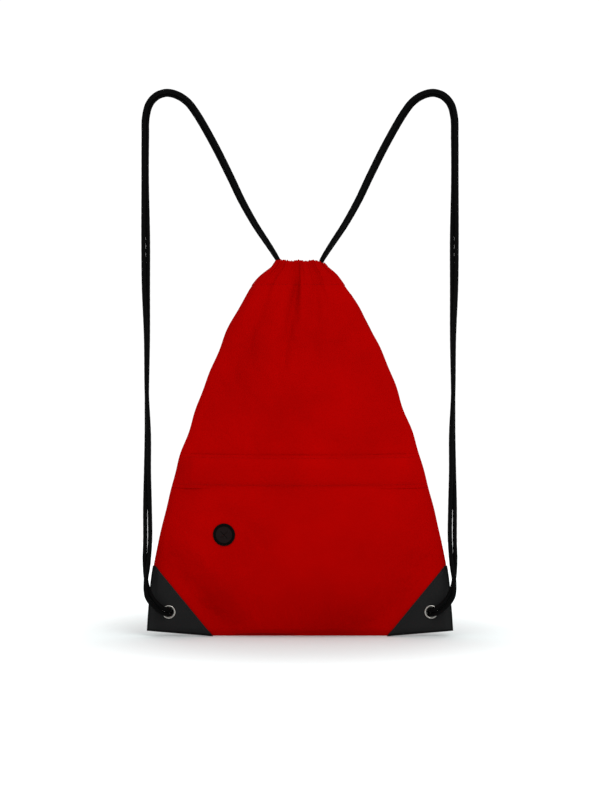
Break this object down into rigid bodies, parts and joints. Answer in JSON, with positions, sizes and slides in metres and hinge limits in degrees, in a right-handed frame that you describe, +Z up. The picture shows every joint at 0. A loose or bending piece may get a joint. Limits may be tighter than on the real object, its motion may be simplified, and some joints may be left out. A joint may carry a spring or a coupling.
{
  "type": "drawstring backpack",
  "caption": "Flat drawstring backpack hung up by its doubled cord straps: gathered collar, flap-covered zip pocket, cross-slit cable port and reinforced corners with eyelets.",
  "frame": {"origin": "the hanging point: midway between the two pegs (or shoulders) that carry the cords, level with the underside of the cords where they turn over", "axes": "+Z up, towards the hanging point from the bag; the front with the zip pocket faces -Y; the cable port is on the -X side"},
  "size_m": [0.3524, 0.0653, 0.6085],
  "materials": {
    "cloth": "matt woven polyester",
    "lining": "matt, darker inside cloth and seam binding",
    "cord": "braided black polyester",
    "coated_corner": "grained coated fabric",
    "nickel": "bright nickel plate",
    "rubber": "matt moulded",
    "zip_nylon": "moulded nylon coil"
  },
  "bodies": {
    "bag": {"port_grommet": "rubber", "port_backing": "rubber", "front_lower_panel": "cloth", "front_upper_panel": "cloth", "pocket_lining": "lining", "back_panel": "cloth", "side_seam_left": "lining", "side_seam_right": "lining", "bottom_seam": "lining", "corner_patch_front_left": "coated_corner", "corner_patch_back_left": "coated_corner", "eyelet_left": "nickel", "eyelet_washer_left": "nickel", "corner_patch_front_right": "coated_corner", "corner_patch_back_right": "coated_corner", "eyelet_right": "nickel", "eyelet_washer_right": "nickel", "strap_left_front": "cord", "strap_left_back": "cord", "drawcord_left_turn": "cord", "knot_left": "cord", "strap_right_front": "cord", "strap_right_back": "cord", "drawcord_right_turn": "cord", "knot_right": "cord", "zip_coil_upper": "zip_nylon", "zip_tape_upper": "cloth", "zip_coil_lower": "zip_nylon", "zip_tape_lower": "cloth", "zip_stop_left": "nickel", "zip_stop_right": "nickel"},
    "front_lip": {"front_channel": "cloth", "drawcord_left_run_front": "cord", "drawcord_right_run_front": "cord"},
    "back_lip": {"back_channel": "cloth", "drawcord_left_run_back": "cord", "drawcord_right_run_back": "cord"},
    "flap": {"zip_flap": "cloth"},
    "slider": {"zip_slider": "nickel"},
    "pull": {"zip_pull": "nickel"}
  },
  "joints": [
    {"name": "front_lip_hinge", "type": "hinge", "parent": "bag", "child": "front_lip", "pos_m": [0, -0.0205, -0.209], "axis": [1, 0, 0], "range_deg": [0, 20]},
    {"name": "back_lip_hinge", "type": "hinge", "parent": "bag", "child": "back_lip", "pos_m": [0, 0.019, -0.209], "axis": [-1, 0, 0], "range_deg": [0, 20]},
    {"name": "flap_hinge", "type": "hinge", "parent": "bag", "child": "flap", "pos_m": [0, -0.0309, -0.397], "axis": [-1, 0, 0], "range_deg": [0, 22]},
    {"name": "slider_travel", "type": "hinge", "parent": "bag", "child": "slider", "pos_m": [0, 0.31254, -0.41], "axis": [0, 0, 1], "range_deg": [0, 35.3]},
    {"name": "pull_swing", "type": "hinge", "parent": "slider", "child": "pull", "pos_m": [-0.104, -0.01383, -0.41], "axis": [-0.3036, -0.9528, 0], "range_deg": [-80, 80]}
  ],
  "couplings": [
    {"joint": "back_lip_hinge", "follows": "front_lip_hinge", "ratio": 1}
  ]
}
